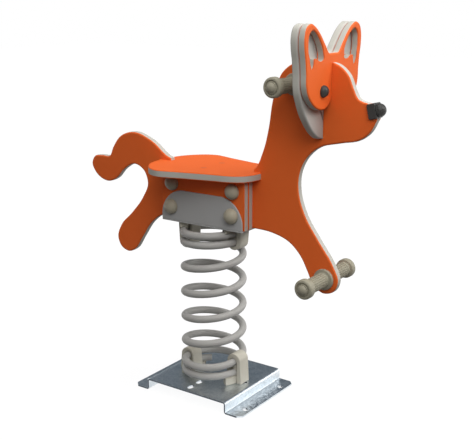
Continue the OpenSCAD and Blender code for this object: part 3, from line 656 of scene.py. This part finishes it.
@dataclass
class Spring:
    """Coil of one wire: closed turns in the clamps, open turns between, two halves that meet at the middle."""

    wire_r: float = 9.5 * MM
    coil_r: float = 75.5 * MM
    foot_z: float = 45.2 * MM
    dead_pitch: float = 23.6 * MM
    active_pitch: float = 66.6 * MM
    open_from: float = 1.47
    open_to: float = 6.28
    turns: float = 7.70
    blend_turns: float = 0.2
    start_deg: float = 132.0
    steps_per_turn: int = 64
    sides: int = 20
    clamp_low_z: float = 118 * MM
    middle_z: float = 240 * MM
    clamp_high_z: float = 362 * MM
    halvings: int = 40

    def ramp(self, turns: float) -> float:
        """Turns past a change of pitch, eased in over the blend."""
        half = self.blend_turns / 2
        if turns <= -half:
            return 0.0
        return turns if turns >= half else (turns + half) ** 2 / (2 * self.blend_turns)

    def height(self, turns: float) -> float:
        """Height of the wire's centre after a number of turns from its lower end."""
        eased = self.ramp(turns - self.open_from) - self.ramp(turns - self.open_to)
        return self.foot_z + self.dead_pitch * turns + (self.active_pitch - self.dead_pitch) * eased

    def turns_at(self, height: float) -> float:
        """Number of turns at which the wire's centre reaches a height, by halving."""
        low, high = 0.0, self.turns
        for _ in range(self.halvings):
            mid = (low + high) / 2
            low, high = (mid, high) if self.height(mid) < height else (low, mid)
        return low

    def swept(self, first: float, last: float) -> bmesh.types.BMesh:
        """Winds a round section from one turn count to another, step by step, and closes both ends.

        Args:
            first: Turn count at the lower end.
            last: Turn count at the upper end.

        Returns:
            The closed tube.
        """
        bm = bmesh.new()
        slope = math.atan2(self.dead_pitch, math.tau * self.coil_r)
        turn = Matrix.Rotation(math.radians(self.start_deg) + math.tau * first, 4, "Z")
        stand = Matrix.Translation((self.coil_r, 0, 0)) @ Matrix.Rotation(math.radians(90) + slope, 4, "X")
        made = bmesh.ops.create_circle(bm, segments=self.sides, radius=self.wire_r, cap_ends=False,
                                       matrix=Matrix.Translation((0, 0, self.height(first))) @ turn @ stand)
        ring = made["verts"] + bm.edges[:]
        ends = [bm.edges[:]]
        steps = math.ceil((last - first) * self.steps_per_turn)
        for i in range(steps):
            here = first + (last - first) * i / steps
            then = first + (last - first) * (i + 1) / steps
            rise = Vector((0, 0, self.height(then) - self.height(here)))
            ring = bmesh.ops.spin(bm, geom=ring, cent=(0, 0, 0), axis=(0, 0, 1), dvec=rise,
                                  angle=math.tau * (then - here), steps=1, use_merge=False)["geom_last"]
        ends.append([e for e in ring if isinstance(e, bmesh.types.BMEdge)])
        for rim in ends:
            bmesh.ops.contextual_create(bm, geom=rim)
        bmesh.ops.recalc_face_normals(bm, faces=bm.faces)
        shade(bm)
        return bm

    def build(self) -> None:
        """Winds both halves of the wire in the stead of the CAD coil."""
        middle = self.turns_at(self.middle_z)
        halves = (("spring_wire_lower", 0.0, middle, BASE, SPRING, self.clamp_low_z, self.middle_z),
                  ("spring_wire_upper", middle, self.turns, SPRING, RIDER, self.middle_z, self.clamp_high_z))
        for name, first, last, below, above, start_z, end_z in halves:
            wire = object_from(self.swept(first, last), name, SPRING_COAT)
            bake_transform(wire)
            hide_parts("coil_spring")
            LOG.info("%s bends between %s and %s", name, below, above)


@dataclass
class RoundedParts:
    """Flat and moulded parts that keep the CAD shape and get rounded edges and a finish."""

    body: str
    slot: str
    finish: Finish
    radius: float
    nodes: tuple[str, ...]
    segments: int = 3
    ends: Finish | None = None

    def build(self) -> None:
        """Copies, rounds, finishes and places each part."""
        for node in self.nodes:
            piece = rounded_copy(node, node + "_finished", self.finish, self.radius, self.segments, self.ends)
            place_piece(piece, self.body, self.slot, node)


@dataclass
class Fasteners:
    """CAD fasteners whose shape is right: they only get their metal."""

    nodes: tuple[str, ...]
    finish: Finish = PLATED

    def build(self) -> None:
        """Gives each node its material."""
        for node in self.nodes:
            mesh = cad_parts[node].data
            mesh.materials.clear()
            mesh.materials.append(finish_of(self.finish))
            LOG.info("%s keeps its CAD shape", node)


@dataclass
class DomeCaps:
    """Snap-on dome caps over nuts: a short skirt with a parting groove or a low brim, and a crowned top."""

    name: str
    node: str
    slot: str
    finish: Finish
    radius_mm: float
    height_mm: float
    skirt_mm: float
    wall_mm: float
    places: list[Matrix] = field(default_factory=list)
    brim_mm: float = 0.0
    crown_steps: int = 9
    foot_in_mm: float = 0.4
    foot_up_mm: float = 0.5
    groove_mm: float = 0.5
    groove_share: float = 0.55
    brim_low_share: float = 0.6
    brim_high_share: float = 0.7

    def crown(self) -> list[Corner]:
        """Corners of the crowned top, from the skirt to the axis."""
        inner, rise = self.radius_mm - self.brim_mm, self.height_mm - self.skirt_mm
        ball = (inner * inner + rise * rise) / (2 * rise)
        reach = math.asin(min(1.0, inner / ball))
        turns = [reach * (1 - i / self.crown_steps) for i in range(1, self.crown_steps)]
        arc = [(ball * math.sin(turn), self.height_mm - ball + ball * math.cos(turn), 0.0) for turn in turns]
        return arc + [(0.0, self.height_mm, 0.0)]

    def profile(self) -> list[Corner]:
        """Corners of half a cap, from the inside of its rim over the skirt and the crown to the axis."""
        r, s = self.radius_mm, self.skirt_mm
        foot = [(r - self.wall_mm, 0.0, 0.0), (r - self.foot_in_mm, 0.0, 0.2), (r, self.foot_up_mm, 0.0)]
        if self.brim_mm:
            inner = r - self.brim_mm
            skirt = [(r, s * self.brim_low_share, 0.3), (inner + 0.2, s * self.brim_high_share, 0.2),
                     (inner, s, 0.0)]
        else:
            groove = s * self.groove_share
            skirt = [(r, groove, 0.1), (r - self.groove_mm, groove + self.groove_mm, 0.1), (r - 0.1, s, 0.0)]
        return foot + skirt + self.crown()

    def build(self) -> None:
        """Turns one cap and sets it at every place, as one piece."""
        bm = bmesh.new()
        one = turned(self.profile())
        mesh = bpy.data.meshes.new(self.name + "_one")
        one.to_mesh(mesh)
        one.free()
        for place in self.places:
            before = len(bm.verts)
            bm.from_mesh(mesh)
            bm.verts.ensure_lookup_table()
            bmesh.ops.transform(bm, matrix=place, verts=bm.verts[before:])
        bpy.data.meshes.remove(mesh)
        bmesh.ops.recalc_face_normals(bm, faces=bm.faces)
        shade(bm, TURNED_SHARP_DEG)
        place_piece(object_from(bm, self.name, self.finish), RIDER, self.slot, self.node)


def outward(x: float, y: float, z: float, side: Side) -> Matrix:
    """Place on a side of the figure: a turned piece's Z points outwards along Y."""
    return Matrix.Translation((x, y * side.value, z)) @ Matrix.Rotation(math.radians(-90 * side.value), 4, "X")


def forward(x: float, y: float, z: float, tilt_deg: float = 0.0) -> Matrix:
    """Place on a face that looks ahead: a turned piece's Z points along X, tilted upwards."""
    return Matrix.Translation((x, y, z)) @ Matrix.Rotation(math.radians(90 - tilt_deg), 4, "Y")


@dataclass
class Grip:
    """Grip turned in one piece: a flange on the panel, a shaft with rows of studs, and a rounded end knob.

    Lengths and radii are in millimetres, and places are in metres.
    """

    node: str
    x: float
    z: float
    side: Side
    panel_half: float = 9.5 * MM
    length_mm: float = 98.0
    bore_r: float = 6.25
    flange_r: float = 25.5
    flange_t: float = 7.0
    shaft_r: float = 16.5
    shaft_low: float = 11.0
    shaft_high: float = 75.0
    knob_r: float = 23.5
    knob_length: float = 19.0
    # Radii of the groove around the end, at its outer and at its inner wall, each from the top to the bottom
    groove_outer: tuple[float, float] = (16.9, 16.4)
    groove_inner: tuple[float, float] = (13.8, 14.2)
    groove_depth: float = 2.2
    recess_r: float = 12.1
    recess_depth: float = 11.0
    stud_rows: int = 13
    stud_share: float = 0.55
    stud_h: float = 1.2
    stud_taper: float = 0.4
    shaft_play: float = 0.05
    turn_steps: int = 60
    steps_per_stud: int = 3

    @property
    def stud_pitch(self) -> float:
        """Distance between the studs along the shaft, in millimetres."""
        return (self.shaft_high - self.shaft_low) / self.stud_rows

    def profile(self) -> list[Corner]:
        """Corners of half a grip, from the bore at the panel outwards to the nut recess."""
        shaft, end = self.shaft_r, self.length_mm
        knob_low, groove_low = end - self.knob_length, end - self.groove_depth
        recess_low = end - self.recess_depth
        rows = [(self.bore_r, 0.0, 0.0), (self.flange_r, 0.0, 0.6), (self.flange_r, self.flange_t, 2.8),
                (shaft + 2.2, self.flange_t + 0.6, 1.6), (shaft, self.shaft_low - 1.2, 0.8)]
        for i in range(self.stud_rows):
            z = self.shaft_low + i * self.stud_pitch
            rows += [(shaft, z, 0.0), (shaft, z + self.stud_share * self.stud_pitch, 0.0)]
        rows += [(shaft, self.shaft_high + 1.5, 1.0), (shaft + 2.6, knob_low, 1.6),
                 (self.knob_r, knob_low, 4.0), (self.knob_r, end - 0.4, 5.0)]
        rows += [(self.groove_outer[0], end, 0.8), (self.groove_outer[1], groove_low, 0.3),
                 (self.groove_inner[1], groove_low, 0.3), (self.groove_inner[0], end, 0.3)]
        rows += [(self.recess_r, end, 0.3), (self.recess_r, recess_low, 0.0), (self.bore_r, recess_low, 0.0)]
        return rows

    def raise_studs(self, bm: bmesh.types.BMesh) -> None:
        """Raises the studs out of the faces of the turned shaft."""
        reach = self.shaft_r * math.cos(math.pi / self.turn_steps)
        studs = []
        for face in bm.faces:
            place = face.calc_center_median() / MM
            along = (place.z - self.shaft_low) / self.stud_pitch
            around = math.floor(math.degrees(math.atan2(place.y, place.x)) % 360 * self.turn_steps / 360)
            near_shaft = abs(math.hypot(place.x, place.y) - reach) < self.shaft_play
            in_rows = 0 < along < self.stud_rows and along % 1 < self.stud_share
            if near_shaft and in_rows and around % self.steps_per_stud:
                studs.append(face)
        bmesh.ops.inset_region(bm, faces=studs, thickness=self.stud_taper * MM, depth=self.stud_h * MM,
                               use_even_offset=True)

    def build(self) -> None:
        """Turns the grip, raises its studs and places it on its side of the body panel."""
        bm = turned(self.profile(), self.turn_steps)
        self.raise_studs(bm)
        shade(bm, TURNED_SHARP_DEG)
        bmesh.ops.transform(bm, matrix=outward(self.x, self.panel_half, self.z, self.side), verts=bm.verts)
        piece = object_from(bm, self.node + "_turned", GRIP_PLASTIC)
        place_piece(piece, RIDER, "grip_moulding", self.node)


@dataclass(frozen=True)
class Lamp:
    """Square soft lamp that looks at the middle of the figure."""

    name: str
    place: tuple[float, float, float]
    size: float
    watts: float
    aim: tuple[float, float, float] = (0, 0, 0.5)

    def build(self) -> None:
        """Adds the lamp to the scene."""
        data = bpy.data.lights.new(self.name, "AREA")
        data.shape, data.size, data.energy = "SQUARE", self.size, self.watts
        lamp = bpy.data.objects.new(self.name, data)
        lamp.location = self.place
        lamp.rotation_euler = (Vector(self.aim) - lamp.location).to_track_quat("-Z", "Y").to_euler()
        bpy.context.scene.collection.objects.link(lamp)


@dataclass
class Studio:
    """Camera of the photograph, white floor and surround, and plain soft light."""

    eye: Vector = field(default_factory=lambda: Vector((1.2948, -1.7411, 1.0070)))
    look: Vector = field(default_factory=lambda: Vector((-0.5559, 0.7933, -0.2483)))
    lens_mm: float = 66.96
    sensor_mm: float = 36.0
    view_reach: float = 60.0
    # Strength of the sky that lights the figure, below and above a band about the horizon
    sky_low: float = 0.016
    sky_high: float = 0.28
    sky_band: tuple[float, float] = (-0.05, 0.30)
    sky_tint: Colour = (1.0, 0.99, 0.97, 1.0)
    # Grey room that gloss shows above a white sweep, which rises towards the front
    room: Colour = (0.096, 0.119, 0.142, 1.0)
    wall_band: tuple[float, float] = (0.02, 0.13)
    screen: tuple[float, float, float] = (0.57, 0.82, 0.0)
    screen_band: tuple[float, float] = (0.70, 0.88)
    screen_rise: float = 0.5
    # White floor: its own glow and the paper that takes the shadow, near the figure and far from it
    floor_half: float = 12.0
    floor_band: tuple[float, float] = (0.25, 0.9)
    floor_glow: float = 0.90
    paper_near: float = 0.12
    paper_far: float = 0.05
    lamps: tuple[Lamp, ...] = (
        Lamp("overhead lamp", (0.5, 0.1, 3.2), 2.4, 39.0),
        Lamp("upper near lamp", (0.4, -1.8, 2.7), 2.0, 10.0),
        Lamp("front lamp", (2.6, 0.9, 2.6), 1.6, 52.0),
        Lamp("near front lamp", (1.7, -1.5, 2.4), 1.6, 33.0),
        Lamp("far front lamp", (1.8, 2.4, 0.8), 1.6, 9.0),
        Lamp("rear lamp", (-2.6, 0.6, 1.8), 2.0, 10.0))

    def camera(self) -> None:
        """Sets the camera at the photograph's viewing angle."""
        data = bpy.data.cameras.new("camera")
        data.lens, data.sensor_width = self.lens_mm, self.sensor_mm
        data.clip_end = self.view_reach
        camera = bpy.data.objects.new("camera", data)
        camera.location = self.eye
        camera.rotation_euler = self.look.to_track_quat("-Z", "Y").to_euler()
        bpy.context.scene.collection.objects.link(camera)
        bpy.context.scene.camera = camera

    def world(self) -> None:
        """White for the camera, a white sweep in a grey room for the gloss, and a soft sky for the light."""
        world = bpy.data.worlds.new("surround")
        bpy.context.scene.world = world
        world.use_nodes = True
        tree = world.node_tree
        tree.nodes.clear()
        way = add_node(tree, "ShaderNodeTexCoord").outputs["Generated"]
        up = add_node(tree, "ShaderNodeSeparateXYZ", {0: way}).outputs[2]
        ahead = add_node(tree, "ShaderNodeVectorMath", {0: way, 1: self.screen},
                         operation="DOT_PRODUCT").outputs["Value"]
        rise = ranged(tree, ahead, 0.0, self.screen_rise, *self.screen_band, interpolation_type="SMOOTHSTEP")
        wall = ranged(tree, math_node(tree, "SUBTRACT", up, rise), 0.0, 1.0, *self.wall_band,
                      interpolation_type="SMOOTHSTEP")
        camera_ray = add_node(tree, "ShaderNodeLightPath").outputs["Is Camera Ray"]
        grey = math_node(tree, "MULTIPLY", wall, math_node(tree, "SUBTRACT", 1.0, camera_ray))
        sweep = mixed(tree, grey, WHITE, self.room)
        shown = add_node(tree, "ShaderNodeBackground", {"Color": sweep, "Strength": 1.0})
        sky = ranged(tree, up, self.sky_low, self.sky_high, *self.sky_band)
        soft = add_node(tree, "ShaderNodeBackground", {"Color": self.sky_tint, "Strength": sky})
        both = add_node(tree, "ShaderNodeMixShader",
                        {0: self.seen_directly(tree), 1: soft.outputs[0], 2: shown.outputs[0]})
        add_node(tree, "ShaderNodeOutputWorld", {"Surface": both.outputs[0]})

    def seen_directly(self, tree: Tree) -> Socket:
        """One for rays of the camera, of gloss and of glass, and zero for the light on dull surfaces."""
        rays = add_node(tree, "ShaderNodeLightPath").outputs
        seen = math_node(tree, "MAXIMUM", rays["Is Camera Ray"], rays["Is Glossy Ray"])
        return math_node(tree, "MAXIMUM", seen, rays["Is Transmission Ray"])

    def floor(self) -> None:
        """A wide white floor that keeps a light shadow near the figure."""
        material, tree, place = new_material("white_paper_floor")
        away = add_node(tree, "ShaderNodeVectorMath", {0: place}, operation="LENGTH").outputs["Value"]
        glow = ranged(tree, away, self.floor_glow, 1.0, *self.floor_band)
        shown = math_node(tree, "MULTIPLY", self.seen_directly(tree), glow)
        near = ranged(tree, away, self.paper_near, self.paper_far, *self.floor_band,
                      interpolation_type="SMOOTHSTEP")
        grey = add_node(tree, "ShaderNodeCombineColor", dict.fromkeys(range(3), near)).outputs[0]
        paper = add_node(tree, "ShaderNodeBsdfDiffuse", {"Color": grey})
        white = add_node(tree, "ShaderNodeEmission", {"Color": WHITE, "Strength": shown})
        both = add_node(tree, "ShaderNodeAddShader", {0: paper.outputs[0], 1: white.outputs[0]})
        close_material(tree, both)
        bm = bmesh.new()
        bmesh.ops.create_grid(bm, x_segments=1, y_segments=1, size=self.floor_half)
        mesh = bpy.data.meshes.new("floor")
        bm.to_mesh(mesh)
        bm.free()
        mesh.materials.append(material)
        floor = bpy.data.objects.new("floor", mesh)
        bpy.context.scene.collection.objects.link(floor)

    def build(self) -> None:
        """Sets up camera, surround, floor and lamps."""
        bpy.context.scene.view_settings.view_transform = "Standard"
        self.camera()
        self.world()
        self.floor()
        for lamp in self.lamps:
            lamp.build()


@dataclass(frozen=True)
class Layout:
    """Places on the figure that no CAD box gives, in millimetres."""

    # Height up to which the seat and the face layers are slotted over the body panel
    slot_top: float = 830.5
    # Narrow tufts of the face, where the round-over has no room
    tuft_low: tuple[float, float] = (300, 843)
    tuft_high: tuple[float, float] = (340, 878)
    tuft_sides: tuple[tuple[float, float], ...] = ((-108, -40), (40, 108))
    stack_bolts: tuple[float, float] = (-93, 93)
    side_panel_face: float = 47.5
    bracket_face: float = 52.5
    grip_end: float = 107.5
    eyes: tuple[float, float] = (-47, 47)
    nose: tuple[float, float, float] = (438.5, 0, 760.05)
    nose_seat: tuple[float, float, float] = (10.0, 0, -0.5)
    nose_tilt_deg: float = 13

    def sheets(self) -> tuple[RoutedSheets, ...]:
        """The panels, each with the places where its round-over runs out."""
        low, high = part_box("body_panel")
        slot = (low, Vector((high.x, high.y, self.slot_top * MM)))
        tufts = [(Vector((self.tuft_low[0], near, self.tuft_low[1])) * MM,
                  Vector((self.tuft_high[0], far, self.tuft_high[1])) * MM) for near, far in self.tuft_sides]
        return (
            RoutedSheets("orange_sheet", BODY_SHEET, radius=5.0 * MM, nodes=("body_panel",), joints=tuple(
                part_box(node) for node in ("seat_board", "face_front", "face_back", "nose_cap"))),
            RoutedSheets("orange_sheet", BODY_SHEET, radius=2.4 * MM, nodes=(
                "inner_side_left", "inner_side_right", "outer_side_left", "outer_side_right")),
            RoutedSheets("orange_sheet", SEAT_SHEET, radius=3.2 * MM, nodes=("seat_board",), joints=(slot,)),
            RoutedSheets("orange_sheet", FACE_SHEET, radius=4.5 * MM, nodes=("face_front",),
                         joints=(slot, *tufts)),
            RoutedSheets("grey_sheet", BACK_SHEET, radius=4.5 * MM, nodes=("face_back",), joints=(slot,)))

    def plain_parts(self) -> tuple[RoundedParts | Fasteners, ...]:
        """The parts that keep their CAD shape."""
        return (
            # The plate's ends that look to the sides get the nearly black finish, which is painted shade over
            # real cut edges
            RoundedParts(BASE, "galvanised", ZINC, radius=0.25 * MM, nodes=("base_plate",), segments=2,
                         ends=SHEARED_ENDS_IN_PAINTED_SHADE),
            RoundedParts(RIDER, "bracket_coat", BRACKET_COAT, radius=1.5 * MM, nodes=(
                "saddle_web", "saddle_plate_left", "saddle_plate_right"), segments=2),
            RoundedParts(BASE, "clamp_moulding", CLAMP_NYLON, radius=2.4 * MM, nodes=(
                "lower_front_pad", "lower_front_arch", "lower_rear_pad", "lower_rear_arch")),
            RoundedParts(RIDER, "clamp_moulding", CLAMP_NYLON, radius=2.4 * MM, nodes=(
                "upper_front_pad", "upper_front_arch", "upper_rear_pad", "upper_rear_arch")),
            RoundedParts(RIDER, "dark_cap", DARK_NYLON, radius=1.6 * MM, nodes=("nose_cap",)),
            Fasteners(("lower_clamp_bolts", "upper_clamp_screws", "upper_stack_rods", "lower_stack_rods",
                       "stack_washers", "stack_nuts", "face_bracket_left", "face_bracket_right",
                       "bracket_bolt", "bracket_nut", "eye_bolts", "eye_nuts", "nose_screw", "hand_rod",
                       "foot_rod", "rod_nuts")),
            Fasteners(("seat_screws",), SCREW_COAT),
            Fasteners(("lower_front_spacer", "lower_rear_spacer", "upper_front_spacer", "upper_rear_spacer"),
                      CLAMP_NYLON))

    def grips(self) -> list[Grip]:
        """The hand grip and the foot grip of each side."""
        rods = {limb: centre_of(limb + "_rod") for limb in ("hand", "foot")}
        return [Grip(f"{limb}_grip_{side.name.lower()}", rod.x, rod.z, side)
                for side in Side for limb, rod in rods.items()]

    def bolt_caps(self) -> list[DomeCaps]:
        """The caps on the stack bolts and on the ends of the grips."""
        caps = []
        for row, face in (("upper", self.side_panel_face), ("lower", self.bracket_face)):
            node = row + "_bolt_caps"
            level = centre_of(node).z
            places = [outward(x * MM, face * MM, level, side) for side in Side for x in self.stack_bolts]
            caps.append(DomeCaps(node + "_turned", node, "bolt_cap", CAP_NYLON, radius_mm=19.5, height_mm=18.0,
                                 skirt_mm=4.0, wall_mm=2.5, places=places))
        for limb in ("hand", "foot"):
            node, rod = limb + "_grip_caps", centre_of(limb + "_rod")
            places = [outward(rod.x, self.grip_end * MM, rod.z, side) for side in Side]
            caps.append(DomeCaps(node + "_turned", node, "grip_moulding", GRIP_PLASTIC, radius_mm=13.63,
                                 height_mm=7.5, skirt_mm=1.5, wall_mm=2.0, places=places, brim_mm=2.4))
        return caps

    def face_caps(self) -> list[DomeCaps]:
        """The two eyes and the dome on the nose."""
        front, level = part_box("eye_caps")[0].x, centre_of("eye_caps").z
        eyes = [forward(front, y * MM, level) for y in self.eyes]
        lean = Matrix.Rotation(-math.radians(self.nose_tilt_deg), 3, "Y")
        nose = Vector(self.nose) * MM + lean @ Vector(self.nose_seat) * MM
        tip = [forward(nose.x, nose.y, nose.z, self.nose_tilt_deg)]
        return [DomeCaps("eye_caps_turned", "eye_caps", "dark_cap", DARK_NYLON, radius_mm=13.5,
                         height_mm=13.0, skirt_mm=2.5, wall_mm=2.5, places=eyes),
                DomeCaps("nose_dome_turned", "nose_dome", "dark_cap", DARK_NYLON, radius_mm=15.0,
                         height_mm=17.0, skirt_mm=3.0, wall_mm=2.5, places=tip)]


def main() -> None:
    """Builds the studio, the spring and every sub-assembly."""
    logging.basicConfig(level=logging.INFO, format="%(message)s")
    layout = Layout()
    Studio().build()
    Spring().build()
    for group in (layout.sheets, layout.plain_parts, layout.grips, layout.bolt_caps, layout.face_caps):
        for part in group():
            part.build()


if __name__ == "__main__":
    main()
